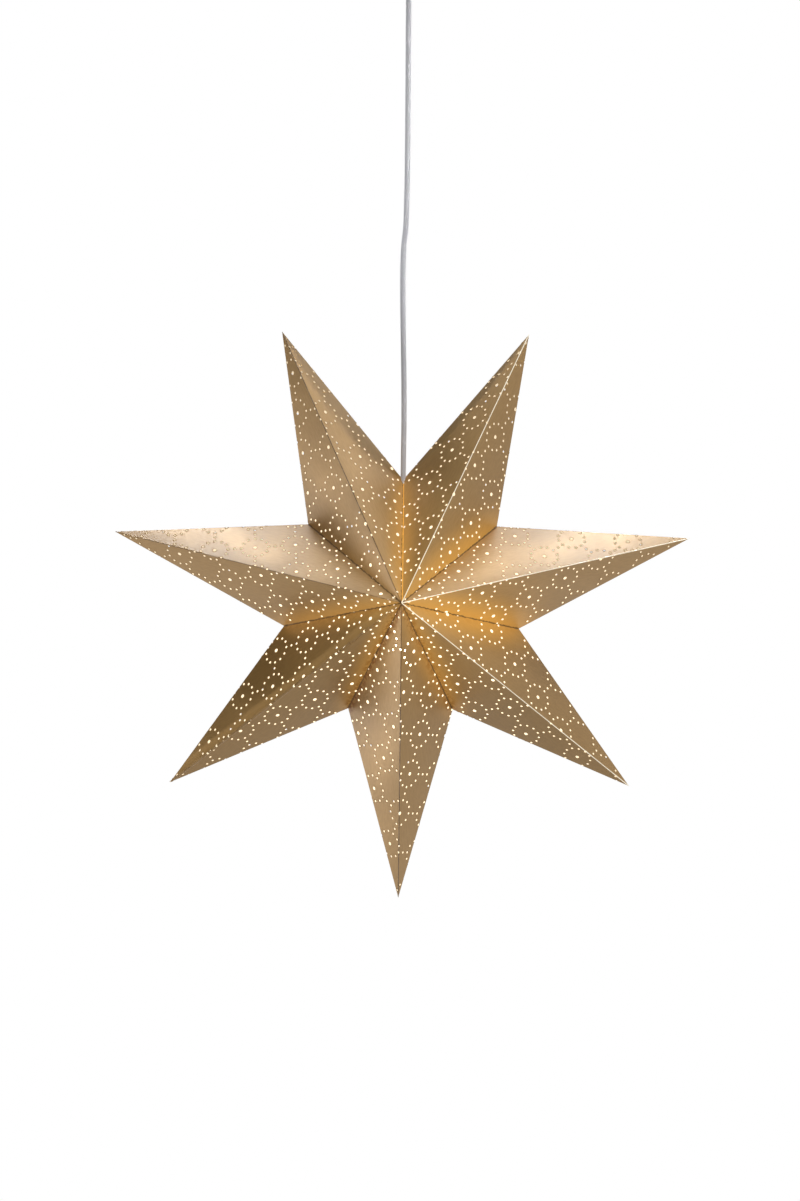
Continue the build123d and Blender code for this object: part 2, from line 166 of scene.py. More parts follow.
class StarPaperSettings(bpy.types.PropertyGroup):
    """Sizes and colours of the star's punched paper"""

    pitch: length_setting("Rosette pitch", "Distance from one rosette to the next", 0.0426)
    centre_hole: length_setting(
        "Centre hole", "Diameter of the hole in the middle of a rosette", 0.0046
    )
    ring_hole: length_setting(
        "Ring hole", "Diameter of the small holes round it and between the rosettes", 0.0031
    )
    ring_count: IntProperty(
        name="Holes in a ring", description="Small holes round one rosette", default=12
    )
    hole_sides: IntProperty(
        name="Sides of a hole", description="Straight edges that stand for a round hole", default=10
    )
    rim: length_setting(
        "Rim", "Width and depth of the edge that the punch pressed in round a hole", 0.0004
    )
    sheet: length_setting("Sheet", "Thickness of the paper", 0.0005)
    flap_width: length_setting("Flap width", "Width of the glued flaps inside the star", 0.012)
    flap_setback: length_setting(
        "Flap setback", "Distance of a flap from the ends of its fold", 0.006
    )
    bulge: number_setting(
        "Bulge", "How much a panel looks rounded from its ridge outwards, 0 is flat", 1.8
    )
    edge_slope: number_setting(
        "Edge slope", "How steep a rolled outer edge ends, as a tangent", 0.75
    )
    gold: colour_setting("Gold", "Colour of the paper's printed side", (0.46, 0.268, 0.088))
    gold_streak: colour_setting(
        "Gold streak", "Colour of the darker streaks in the gold", (0.42, 0.240, 0.075)
    )
    # Painted highlight along the ridges of some points
    ridge_highlight_colour: colour_setting(
        "Ridge highlight", "Colour of the painted highlight along a ridge", (0.90, 0.84, 0.70)
    )
    # Painted shade along the ridges of other points and at the seams
    crease_shade_colour: colour_setting(
        "Crease shade", "Colour of the painted shade along a ridge and a seam", (0.10, 0.055, 0.02)
    )
    lamplight: colour_setting(
        "Lamplight", "Colour of the lit inner side of the paper", (1.0, 0.86, 0.62)
    )
    lamplight_strength: number_setting(
        "Lamplight strength", "Brightness of the inner side near the bulb", 1.5
    )
    glue: colour_setting(
        "Glue", "Colour of the paper where glue has soaked it beside a seam", (0.17, 0.040, 0.004)
    )
    glue_light: number_setting(
        "Glue light", "Lamplight through the glue-soaked paper, where 1 is white", 0.03
    )
    glow: colour_setting(
        "Glow", "Colour of the light that comes through the paper near the bulb", (1.0, 0.48, 0.06)
    )
    glow_middle: FloatVectorProperty(
        name="Glow middle",
        description="Where the lamplight gathers inside the star, from the star's middle",
        default=(0.04, 0.0, 0.0),
        subtype="TRANSLATION",
    )
    seam_strength: number_setting(
        "Seam strength", "Brightness of the light that a seam near the lamp lets out", 0.32
    )
    glow_strength: number_setting(
        "Glow strength", "Brightness of the paper's glow nearest to the bulb", 0.12
    )


class LampSettings(bpy.types.PropertyGroup):
    """Sizes and colours of the cord, the ceiling fitting, the lamp holder and the bulb"""

    cord_diameter: length_setting(
        "Cord diameter", "Diameter of the cord", 2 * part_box("cord_tail")[1].x
    )
    cord_colour: colour_setting(
        "Cord colour", "Colour of the cord's plastic sheath", (0.88, 0.88, 0.92)
    )
    cup_wall: length_setting("Cup wall", "Thickness of the ceiling cup's sheet", 0.002)
    cup_edge: length_setting("Cup edge", "Size of the slope round the ceiling cup's floor", 0.005)
    outlet_thread: length_setting(
        "Outlet hole", "Diameter of the hole in the cup's floor, for the cord outlet", 0.0103
    )
    white: colour_setting(
        "White", "Colour of the painted and moulded white pieces", (0.78, 0.77, 0.74)
    )
    bulb_colour: colour_setting("Bulb colour", "Colour of the bulb's light", (1.0, 0.82, 0.55))
    bulb_strength: number_setting("Bulb strength", "Brightness of the bulb's opal tube", 6.0)


class StageSettings(bpy.types.PropertyGroup):
    """Camera, lights and floor"""

    distance: length_setting(
        "Camera distance", "Distance from the star's middle to the camera", 1.8
    )
    elevation: angle_setting("Camera elevation", "How far the camera looks down on the star", 1.5)
    roll: angle_setting(
        "Camera roll", "The camera's lean, which makes the cord hang a little askew", 0.67
    )
    lens: number_setting("Lens", "Focal length for a picture 36 mm high, in millimetres", 50.4)
    floor_drop: length_setting("Floor drop", "Height of the star's middle above the floor", 1.7)
    floor_white: number_setting(
        "Floor white", "What is added to the floor where it is seen, so that it looks white", 0.5
    )
    ambient: number_setting("Ambient", "Brightness of the plain light from all round", 0.22)
    top_power: number_setting(
        "Top light", "Power of each of the two soft lights above the star, in watts", 8.3
    )
    top_colour: colour_setting("Top light colour", "Cool daylight from above", (0.80, 0.88, 1.0))
    left_power: number_setting("Left light", "Power of the soft light on the left, in watts", 6.8)
    front_power: number_setting(
        "Front light", "Power of the soft light in front, on the right, in watts", 8.0
    )
    cord_power: number_setting(
        "Cord light", "Power of the narrow light on the cord, in watts", 0.09
    )
    low_power: number_setting(
        "Low light", "Power of each of the two soft lights near the floor, in watts", 0.6
    )
    right_power: number_setting(
        "Right light", "Power of the soft light on the upper right, in watts", 3.4
    )


# Node helpers


def feed(tree, value, socket):
    """Link a node's output to a socket, or set the socket to a plain value."""
    if isinstance(value, bpy.types.NodeSocket):
        tree.links.new(value, socket)
    else:
        socket.default_value = value


def add_node(tree, kind, **values):
    """Add a node and set its properties, or set or link its inputs by their names."""
    node = tree.nodes.new(kind)
    for name, value in values.items():
        if hasattr(node, name):
            setattr(node, name, value)
        else:
            feed(tree, value, node.inputs[name.replace("_", " ").title()])
    return node


def new_finish(name, colour, roughness, metallic=0.0):
    """A material with one Principled shader, its node tree and that shader."""
    material = bpy.data.materials.new(name)
    material.use_nodes = True
    tree = material.node_tree
    shader = tree.nodes["Principled BSDF"]
    shader.inputs["Base Color"].default_value = (*colour, 1)
    shader.inputs["Roughness"].default_value = roughness
    shader.inputs["Metallic"].default_value = metallic
    return material, tree, shader


def worked_out(tree, operation, *values):
    """The result of a sum with sockets or numbers, taken one after the other."""
    result, *others = values
    for value in others:
        node = add_node(tree, "ShaderNodeMath", operation=operation)
        feed(tree, result, node.inputs[0])
        feed(tree, value, node.inputs[1])
        result = node.outputs["Value"]
    return result


def times(tree, *factors):
    """The product of sockets or numbers."""
    return worked_out(tree, "MULTIPLY", *factors)


def plus(tree, *terms):
    """The total of sockets or numbers."""
    return worked_out(tree, "ADD", *terms)


def mixed_colours(tree, factor, first, second):
    """The output of a node that mixes two colours, or a socket's and one, by a factor."""
    mix = add_node(tree, "ShaderNodeMix", data_type="RGBA")
    tree.links.new(factor, mix.inputs[0])
    for socket, colour in ((mix.inputs[6], first), (mix.inputs[7], second)):
        linked_in = isinstance(colour, bpy.types.NodeSocket)
        feed(tree, colour if linked_in else (*colour, 1), socket)
    return mix.outputs[2]


def noise(tree, place, scale, detail=3.0, stretch=(1, 1, 1)):
    """The factor of a noise that is stretched along the axes of its place."""
    mapping = add_node(tree, "ShaderNodeMapping", vector=place, scale=stretch)
    stretched = mapping.outputs["Vector"]
    texture = add_node(tree, "ShaderNodeTexNoise", vector=stretched, scale=scale, detail=detail)
    return texture.outputs["Fac"]


def ranged(tree, value, low, high, at_low, at_high):
    """A value brought from one range to another, smoothly and without leaving it."""
    return add_node(
        tree,
        "ShaderNodeMapRange",
        interpolation_type="SMOOTHSTEP",
        value=value,
        from_min=low,
        from_max=high,
        to_min=at_low,
        to_max=at_high,
    ).outputs["Result"]


def bumped(tree, shader, height, strength, distance, under=None):
    """Give a shader a bump from a height, on top of another bump or none."""
    bump = add_node(tree, "ShaderNodeBump", strength=strength, distance=distance)
    tree.links.new(height, bump.inputs["Height"])
    if under:
        tree.links.new(under, bump.inputs["Normal"])
    tree.links.new(bump.outputs["Normal"], shader.inputs["Normal"])
    return bump.outputs["Normal"]


def object_place(tree):
    """The place on a piece, in the frame's own metres."""
    return add_node(tree, "ShaderNodeTexCoord").outputs["Object"]


def distance_from(tree, middle):
    """The distance of a place on a piece from a middle."""
    distance = add_node(tree, "ShaderNodeVectorMath", operation="DISTANCE")
    distance.inputs[1].default_value = middle
    tree.links.new(object_place(tree), distance.inputs[0])
    return distance.outputs["Value"]


def paper_value(tree, name):
    """A value that the folded paper carries."""
    return add_node(tree, "ShaderNodeAttribute", attribute_name=name).outputs["Fac"]


def map_parts(tree, name):
    """The two values that one of the paper's UV maps holds."""
    place = add_node(tree, "ShaderNodeUVMap", uv_map=name).outputs["UV"]
    parts = add_node(tree, "ShaderNodeSeparateXYZ", vector=place).outputs
    return parts["X"], parts["Y"]


# Finishes


def mottle(tree, shader, factor, colour, dark):
    """Mix a shader's colour with a darker share of it."""
    darker = [channel * dark for channel in colour]
    tree.links.new(mixed_colours(tree, factor, colour, darker), shader.inputs["Base Color"])


def vary_gloss(tree, shader, place, scale, low, high):
    """Let a shader's roughness vary over a piece."""
    roughness = ranged(tree, noise(tree, place, scale), 0.3, 0.7, low, high)
    tree.links.new(roughness, shader.inputs["Roughness"])


def rolled(tree, width, distance, slope):
    """How deep paper is rolled over, where its distance from a fold is less than the width."""
    past = worked_out(tree, "MAXIMUM", worked_out(tree, "SUBTRACT", width, distance), 0.0)
    return times(tree, worked_out(tree, "DIVIDE", times(tree, past, past), width), -slope / 2)


def rolled_edge(tree, slope):
    """How deep the outer edge of a panel is rolled over: most at half its length."""
    from_edge, share = map_parts(tree, "edge")
    half_way = times(tree, share, worked_out(tree, "SUBTRACT", 1.0, share), 4.0)
    return rolled(tree, times(tree, paper_value(tree, "edge_roll"), half_way), from_edge, slope)


def round_panels(tree, shader, paper, sheet_place, from_ridge):
    """Bumps for panels that round off away from the ridge and aren't quite even."""
    from_level = worked_out(tree, "SUBTRACT", from_ridge, LEVEL_FROM_RIDGE)
    fall = plus(
        tree,
        times(tree, from_level, from_level, -paper.bulge),
        rolled_edge(tree, paper.edge_slope),
        rolled(tree, paper_value(tree, "ridge_roll"), from_ridge, paper.edge_slope),
    )
    rounded = bumped(tree, shader, fall, 1.0, 1.0)
    waves = bumped(tree, shader, noise(tree, sheet_place, 11.0, 1.0), 1.0, 0.003, rounded)
    grain = noise(tree, sheet_place, 900.0, 2.0, (1, 2.5, 1))
    bumped(tree, shader, grain, 0.10, 0.0002, waves)


def lamp_glow(tree, paper, from_seam):
    """Lamplight through the paper: broad near the lamp, and strongest along some seams."""
    from_glow = distance_from(tree, STAR_MIDDLE + Vector(paper.glow_middle))
    broad = ranged(tree, from_glow, 0.05, 0.14, paper.glow_strength, 0)
    share = paper_value(tree, "seam_light")
    reach = plus(tree, times(tree, share, 0.034), 0.010)
    near_seam = times(
        tree,
        ranged(tree, worked_out(tree, "DIVIDE", from_seam, reach), 0, 1, paper.seam_strength, 0),
        ranged(tree, distance_from(tree, STAR_MIDDLE), 0.09, 0.18, 1, 0),
        share,
    )
    return plus(tree, broad, near_seam)


def gold_paper(paper):
    """Printed gold side of the paper: satin, faintly streaked, and aglow near the lamp."""
    material, tree, shader = new_finish("gold_paper_outside", paper.gold, 0.38, 0.32)
    sheet_place = add_node(tree, "ShaderNodeUVMap", uv_map="sheet").outputs["UV"]
    from_ridge, from_seam = map_parts(tree, "folds")
    # Along the front ridge: a pale painted highlight on some points, a dark painted shade on others
    ridge_shading = paper_value(tree, "ridge_painted_light")
    ridge = ranged(tree, from_ridge, 0.0003, 0.0010, 1, 0)
    pale = times(tree, ridge, ranged(tree, ridge_shading, 0, 1, 0, 1))
    dark = times(tree, ridge, ranged(tree, ridge_shading, -1, 0, 1, 0))
    # A seam is an uneven dark line of painted shade and glue, with strokes of glue beside it
    uneven = ranged(tree, noise(tree, sheet_place, 260.0, 1.0), 0.35, 0.65, -0.0004, 0.0004)
    seam = ranged(tree, plus(tree, from_seam, uneven), 0.0003, 0.0013, 1, 0)
    strokes = ranged(tree, noise(tree, sheet_place, 230.0, 2.0), 0.42, 0.58, 0, 1)
    beside = ranged(tree, from_seam, 0.0015, 0.0095, 1, 0)
    glue = times(tree, paper_value(tree, "glue"), strokes, beside)

    streaks = ranged(tree, noise(tree, sheet_place, 120.0, 3.0, (1, 4, 1)), 0.3, 0.7, 0, 1)
    colour = mixed_colours(tree, streaks, paper.gold, paper.gold_streak)
    for share, over in (
        (glue, paper.glue),
        # painted shade darkens the seam line
        (times(tree, seam, 0.75), paper.crease_shade_colour),
        (pale, paper.ridge_highlight_colour),
        (dark, paper.crease_shade_colour),
    ):
        colour = mixed_colours(tree, share, colour, over)
    tree.links.new(colour, shader.inputs["Base Color"])
    vary_gloss(tree, shader, sheet_place, 14.0, 0.34, 0.42)
    round_panels(tree, shader, paper, sheet_place, from_ridge)
    shader.inputs["Specular IOR Level"].default_value = 0.2
    shader.inputs["Coat Weight"].default_value = 0.6
    shader.inputs["Coat Roughness"].default_value = 0.3

    # Lamplight comes through the paper and its glue; painted light glows along a seam that looks
    # open and on the ridges' painted highlights
    # Painted lamplight along a seam that looks open
    slit_glow = times(tree, paper_value(tree, "slit_glow"), ranged(tree, from_seam, 0.0008, 0.0020, 1, 0))
    light = plus(
        tree,
        times(tree, lamp_glow(tree, paper, from_seam), ranged(tree, seam, 0, 1, 1, 0.25)),
        times(tree, glue, paper.glue_light),
        times(tree, slit_glow, 0.6),
        times(tree, pale, 0.4),
    )
    glow = mixed_colours(tree, pale, paper.glow, paper.lamplight)
    tree.links.new(glow, shader.inputs["Emission Color"])
    tree.links.new(light, shader.inputs["Emission Strength"])
    return material


def lamplit_paper(paper):
    """Inner side of the paper, lit by the bulb: brightest near it, dimmer above the lamp holder."""
    material, tree, shader = new_finish("gold_paper_inside", (0.24, 0.20, 0.15), 0.7)
    shader.inputs["Emission Color"].default_value = (*paper.lamplight, 1)
    far = distance_from(tree, BULB_MIDDLE)
    light = ranged(tree, far, 0.06, 0.36, paper.lamplight_strength, 0.45 * paper.lamplight_strength)
    height = add_node(tree, "ShaderNodeSeparateXYZ", vector=object_place(tree)).outputs["Z"]
    above = ranged(tree, height, STAR_MIDDLE.z - 0.05, STAR_MIDDLE.z + 0.12, 1, 0.85)
    tree.links.new(times(tree, light, above), shader.inputs["Emission Strength"])
    return material


def moulded(name, colour, roughness=0.42):
    """Moulded or painted surface with a faint orange-peel and uneven gloss."""
    material, tree, shader = new_finish(name, colour, roughness)
    place = object_place(tree)
    mottle(tree, shader, noise(tree, place, 35.0), colour, 0.93)
    vary_gloss(tree, shader, place, 60.0, roughness - 0.06, roughness + 0.06)
    bumped(tree, shader, noise(tree, place, 700.0, 1.0), 0.06, 0.0002)
    return material


def bare_metal(name, colour, roughness=0.3):
    """Drawn or plated metal with fine lines along its height and dull spots."""
    material, tree, shader = new_finish(name, colour, roughness, 1.0)
    place = object_place(tree)
    dull_spots = ranged(tree, noise(tree, place, 80.0), 0.45, 0.8, 0, 1)
    mottle(tree, shader, dull_spots, colour, 0.78)
    vary_gloss(tree, shader, place, 45.0, roughness - 0.08, roughness + 0.12)
    bumped(tree, shader, noise(tree, place, 500.0, 2.0, (1, 1, 8)), 0.05, 0.0001)
    return material


def opal(lamp):
    """Opal tube of the bulb, lit from inside."""
    material, tree, shader = new_finish("opal_globe", (0.86, 0.84, 0.78), 0.25)
    shader.inputs["Emission Color"].default_value = (*lamp.bulb_colour, 1)
    ends = noise(tree, object_place(tree), 25.0, 1.0)
    tree.links.new(
        ranged(tree, ends, 0.2, 0.8, 0.9 * lamp.bulb_strength, lamp.bulb_strength),
        shader.inputs["Emission Strength"],
    )
    return material


def cord_sheath(lamp):
    """Smooth plastic sheath of the cord, a little uneven along its length."""
    material, tree, shader = new_finish("cord_sheath", lamp.cord_colour, 0.38)
    place = object_place(tree)
    along = noise(tree, place, 60.0, 2.0, (1, 1, 0.15))
    mottle(tree, shader, along, lamp.cord_colour, 0.9)
    bumped(tree, shader, noise(tree, place, 400.0, 1.0, (1, 1, 0.2)), 0.08, 0.0002)
    return material


# Geometry


def linked(name, data):
    """A new object in the scene."""
    piece = bpy.data.objects.new(name, data)
    bpy.context.collection.objects.link(piece)
    return piece


def mesh_of(name, shape):
    """A mesh from an edited shape, which is freed."""
    mesh = bpy.data.meshes.new(name)
    shape.to_mesh(mesh)
    shape.free()
    return mesh


def dress(node, material, bevel=0.0):
    """Give a solid of the frame its finish, and soften its edges."""
    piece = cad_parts[node]
    piece.data.materials.clear()
    piece.data.materials.append(material)
    if bevel:
        weld = piece.modifiers.new("Weld", "WELD")
        weld.merge_threshold = WELD_DISTANCE
        soften(piece, bevel)


def soften(piece, width):
    """Round a piece's edges."""
    edge = piece.modifiers.new("Soft edges", "BEVEL")
    edge.width = width
    edge.segments = 2
    edge.limit_method = "ANGLE"
    edge.angle_limit = math.radians(35)


def turned(name, outline, material, sides=96):
    """A round piece: a closed outline of radius and height, turned about the vertical axis."""
    shape = bmesh.new()
    corners = [shape.verts.new((radius, 0, height)) for radius, height in outline]
    rim = [shape.edges.new(ends) for ends in zip(corners, corners[1:] + corners[:1])]
    bmesh.ops.spin(
        shape,
        geom=corners + rim,
        cent=(0, 0, 0),
        axis=(0, 0, 1),
        angle=2 * math.pi,
        steps=sides,
        use_merge=True,
    )
    bmesh.ops.recalc_face_normals(shape, faces=shape.faces)
    mesh = mesh_of(name, shape)
    mesh.materials.append(material)
    mesh.shade_smooth()
    mesh.set_sharp_from_angle(angle=math.radians(30))
    return linked(name, mesh)


def punched_sheet_tree():
    """Geometry Nodes tree of a flat sheet, punched with rosettes on a square lattice.

    One square of the lattice is filled round its holes, and then repeated over the blank.
    """
    tree = bpy.data.node_groups.new("Punched sheet", "GeometryNodeTree")
    tree.interface.new_socket("Sheet", in_out="OUTPUT", socket_type="NodeSocketGeometry")
    measures = ("Pitch", "Turn", "Along", "Across", "Centre Hole", "Ring Hole", "Middle", "Reach")
    counts = ("Ring Count", "Hole Sides", "Rows")
    for kind, names in (("NodeSocketFloat", measures), ("NodeSocketInt", counts)):
        for name in names:
            tree.interface.new_socket(name, in_out="INPUT", socket_type=kind)
    given = add_node(tree, "NodeGroupInput").outputs
    pitch = given["Pitch"]

    def made(kind, **values):
        return add_node(tree, f"GeometryNode{kind}", **values).outputs[0]

    def vector(**parts):
        return add_node(tree, "ShaderNodeCombineXYZ", **parts).outputs["Vector"]

    def circle(diameter):
        radius = worked_out(tree, "DIVIDE", diameter, 2.0)
        return made("CurvePrimitiveCircle", resolution=given["Hole Sides"], radius=radius)

    def moved(geometry, **where):
        return made("Transform", geometry=geometry, **where)

    def realized(geometry):
        return made("RealizeInstances", geometry=geometry)

    # One square: a centre hole, its ring of small holes, and a link hole towards two neighbours.
    # Its sides run between the ring and the link holes of the next rosette.
    small = circle(given["Ring Hole"])
    ring_radius = worked_out(tree, "DIVIDE", pitch, 3.0)
    ring = made("MeshCircle", vertices=given["Ring Count"], radius=ring_radius)
    half_back = worked_out(tree, "DIVIDE", pitch, -2.0)
    side_shift = times(tree, pitch, -0.08)
    square = add_node(tree, "GeometryNodeCurvePrimitiveQuadrilateral")
    for name in ("Width", "Height"):
        tree.links.new(pitch, square.inputs[name])
    outline = add_node(tree, "GeometryNodeJoinGeometry")
    for curve in (
        moved(square.outputs["Curve"], translation=vector(X=side_shift, Y=side_shift)),
        circle(given["Centre Hole"]),
        made("InstanceOnPoints", points=ring, instance=small),
        moved(small, translation=vector(X=half_back)),
        moved(small, translation=vector(Y=half_back)),
    ):
        tree.links.new(curve, outline.inputs["Geometry"])
    filled = made("FillCurve", mode="TRIANGLES", curve=realized(outline.outputs["Geometry"]))

    # The lattice, moved and turned under the blank, and only as far as the blank reaches
    side = times(tree, pitch, given["Rows"], 2.0)
    count = plus(tree, times(tree, given["Rows"], 2.0), 1.0)
    lattice = made("MeshGrid", size_x=side, size_y=side, vertices_x=count, vertices_y=count)
    turn = vector(Z=given["Turn"])
    placed = moved(lattice, translation=vector(X=given["Along"], Y=given["Across"]))
    placed = moved(placed, rotation=turn)
    reach = add_node(tree, "ShaderNodeVectorMath", operation="DISTANCE")
    tree.links.new(made("InputPosition"), reach.inputs[0])
    tree.links.new(vector(X=given["Middle"]), reach.inputs[1])
    near = worked_out(tree, "LESS_THAN", reach.outputs["Value"], given["Reach"])
    squares = made(
        "InstanceOnPoints", points=placed, selection=near, instance=filled, rotation=turn
    )
    sheet = made("MergeByDistance", geometry=realized(squares), distance=WELD_DISTANCE)
    add_node(tree, "NodeGroupOutput", sheet=sheet)
    return tree


def evaluated_mesh(piece):
    """The piece's mesh with its modifiers applied."""
    depsgraph = bpy.context.evaluated_depsgraph_get()
    return bpy.data.meshes.new_from_object(piece.evaluated_get(depsgraph), depsgraph=depsgraph)


def punched_sheet(tree, paper, blank):
    """Flat mesh of one blank's sheet, with the tip of the point at the origin."""
    # A circle through the tip and the far ends of the back ridges holds the whole blank
    panel = Panel(0, 1, True)
    middle = panel.apex_place.x / 2 / math.cos(2 * panel.fold_angle)
    holder = linked("punched sheet", bpy.data.meshes.new("punched sheet"))
    modifier = holder.modifiers.new("Punched sheet", "NODES")
    modifier.node_group = tree
    values = {
        "Pitch": paper.pitch,
        "Turn": math.radians(blank.turn),
        "Along": blank.along,
        "Across": blank.across,
        "Centre Hole": paper.centre_hole + 2 * paper.rim,
        "Ring Hole": paper.ring_hole + 2 * paper.rim,
        "Ring Count": paper.ring_count,
        "Hole Sides": paper.hole_sides,
        "Rows": math.ceil(2 * middle / paper.pitch) + 2,
        "Middle": middle,
        "Reach": middle + paper.pitch,
    }
    for item in tree.interface.items_tree:
        if item.in_out == "INPUT":
            modifier[item.identifier] = values[item.name]
    flat = evaluated_mesh(holder)
    bpy.data.objects.remove(holder)
    return flat


def star_place(angle, radius):
    """A place in the star's middle plane."""
    return STAR_MIDDLE + radius * Vector((math.cos(angle), 0, math.sin(angle)))


class Panel:
    """One of a point's four panels: its place in the flat sheet and in the folded star.

    Places in a panel are given along its ridge from the tip, and across from the ridge.
    """

    def __init__(self, angle, side, behind):
        self.tip = star_place(angle, TIP_RADIUS)
        apex = STAR_MIDDLE + Vector((0, HALF_DEPTH if behind else -HALF_DEPTH, 0))
        valley = star_place(angle + side * POINT_STEP / 2, VALLEY_RADIUS)
        ridge, fold = apex - self.tip, valley - self.tip
        self.fold_angle = ridge.angle(fold)
        self.side, self.behind = side, behind
        self.along = ridge.normalized()
        self.across = (fold - fold.project(self.along)).normalized()
        self.out = self.across.cross(self.along) * (1 if (side > 0) == behind else -1)
        ridge_angle = 2 * side * self.fold_angle if behind else 0
        towards_fold = ridge_angle + (-side if behind else side) * math.pi / 2
        self.flat_along = Vector((math.cos(ridge_angle), math.sin(ridge_angle), 0))
        self.flat_across = Vector((math.cos(towards_fold), math.sin(towards_fold), 0))
        self.apex_place = Vector((ridge.length, 0))
        self.valley_place = Vector((fold.dot(self.along), fold.dot(self.across)))
        self.base = (self.valley_place - self.apex_place).normalized()
        self.base_length = (self.valley_place - self.apex_place).length
        self.base_out = Vector((self.base.y, -self.base.x))
        crease = (valley - apex).normalized()
        inwards = STAR_MIDDLE - valley
        self.inwards = (inwards - inwards.project(crease)).normalized()

    def holds(self, place):
        """Whether a flat place lies in the panel's share of the sheet."""
        turn = math.atan2(place.y, place.x) * self.side
        return turn >= 0 and (turn > self.fold_angle) == self.behind and turn < 2 * self.fold_angle

    def local(self, place):
        """A flat place in the panel's own axes."""
        return Vector((place.dot(self.flat_along), place.dot(self.flat_across)))

    def flat(self, local):
        """A place in the panel's own axes, on the flat sheet."""
        return local.x * self.flat_along + local.y * self.flat_across

    def past_base(self, local):
        """How far a place lies beyond the fold of the flap, and how far along that fold."""
        from_apex = local - self.apex_place
        return from_apex.dot(self.base_out), from_apex.dot(self.base)

    def folded(self, local, blank):
        """Where a place of the panel or its flap stands in the star."""
        past, _ = self.past_base(local)
        if past > 0:
            foot = local - past * self.base_out
            return self.tip + foot.x * self.along + foot.y * self.across + past * self.inwards
        height = self.apex_place.x * self.valley_place.y
        share_valley = local.y / self.valley_place.y
        share_apex = (local.x * self.valley_place.y - local.y * self.valley_place.x) / height
        share_tip = max(0, 1 - share_valley - share_apex)
        settle = 0
        if not self.behind:
            settle = 0.5 * max(0, blank.ridge_round - abs(local.y)) ** 2 / blank.ridge_round
        place = self.tip + local.x * self.along + local.y * self.across
        return place - settle * self.out + share_tip * Vector(blank.tip_set)

    def fold_distances(self, local):
        """How far a place lies from the front ridge, and from the glued seam."""
        past, _ = self.past_base(local)
        return (1.0 if self.behind else abs(local.y)), -past

    def edge_place(self, local):
        """How far a place lies from the point's outer edge, and its share of the way along it."""
        edge = self.valley_place.normalized()
        return local.x * edge.y - local.y * edge.x, local.dot(edge) / self.valley_place.length


def cut_sheet(sheet, place, run, faces=None):
    """Cut the flat sheet, or some of its faces, along a line."""
    faces = sheet.faces if faces is None else faces
    parts = {part for face in faces for part in (*face.verts, *face.edges, face)}
    across = Vector((-run.y, run.x, 0))
    bmesh.ops.bisect_plane(
        sheet, geom=list(parts), dist=CUT_ACCURACY, plane_co=place, plane_no=across
    )


def drop_faces(sheet, unwanted):
    """Take faces out of the sheet."""
    faces = [face for face in sheet.faces if unwanted(face.calc_center_median())]
    bmesh.ops.delete(sheet, geom=faces, context="FACES")


def press_rims(sheet, paper):
    """Give each hole of the flat sheet its pressed rim, and mark how deep the paper lies there."""
    depth = sheet.verts.layers.float.new("pressed_in")
    open_edges = [edge for edge in sheet.edges if edge.is_boundary]
    holes = [edge for edge in open_edges if edge.calc_length() < paper.centre_hole]
    up = next(iter(sheet.faces)).normal.z
    rims = bmesh.ops.extrude_edge_only(sheet, edges=holes)["geom"]
    for face in rims:
        if isinstance(face, bmesh.types.BMFace):
            face.normal_update()
            if face.normal.z * up < 0:
                face.normal_flip()
    left = {part for part in rims if isinstance(part, bmesh.types.BMVert)}
    while left:
        hole = [left.pop()]
        for vertex in hole:
            for edge in vertex.link_edges:
                following = edge.other_vert(vertex)
                if following in left:
                    left.discard(following)
                    hole.append(following)
        centre = sum((vertex.co for vertex in hole), Vector()) / len(hole)
        for vertex in hole:
            vertex.co += paper.rim * (centre - vertex.co).normalized()
            vertex[depth] = paper.rim
    return depth


def cut_blank(sheet, panels, paper, blank):
    """Cut one point's blank out of the flat sheet, and cut along its folds and flaps."""

    def cut_from_tip(turn):
        around = turn * panels[0].fold_angle
        cut_sheet(sheet, Vector((0, 0, 0)), Vector((math.cos(around), math.sin(around), 0)))

    for turn in (-2, 2):
        cut_from_tip(turn)
    drop_faces(sheet, lambda place: not any(panel.holds(place) for panel in panels))
    for turn in (-1, 0, 1):
        cut_from_tip(turn)
    for share in (-1, -2 / 3, -1 / 3, 1 / 3, 2 / 3, 1):
        cut_sheet(sheet, Vector((0, share * blank.ridge_round, 0)), Vector((1, 0, 0)))

    for panel in panels:
        base = panel.flat(panel.apex_place)
        run = panel.flat(panel.base)
        out = panel.flat(panel.base_out)
        ends = (
            (base + paper.flap_setback * run, run + out),
            (base + (panel.base_length - paper.flap_setback) * run, out - run),
        )
        for place, direction in ((base, run), (base + paper.flap_width * out, run), *ends):
            own = [face for face in sheet.faces if panel.holds(face.calc_center_median())]
            cut_sheet(sheet, place, direction, own)

    def outside(place):
        panel = panel_at(panels, place)
        past, along = panel.past_base(panel.local(place))
        slope = past + paper.flap_setback
        return past > 0 and not (
            past < paper.flap_width and slope < along < panel.base_length - slope
        )

    drop_faces(sheet, outside)


def panel_at(panels, place):
    """The panel that holds a flat place."""
    return next(panel for panel in panels if panel.holds(place))


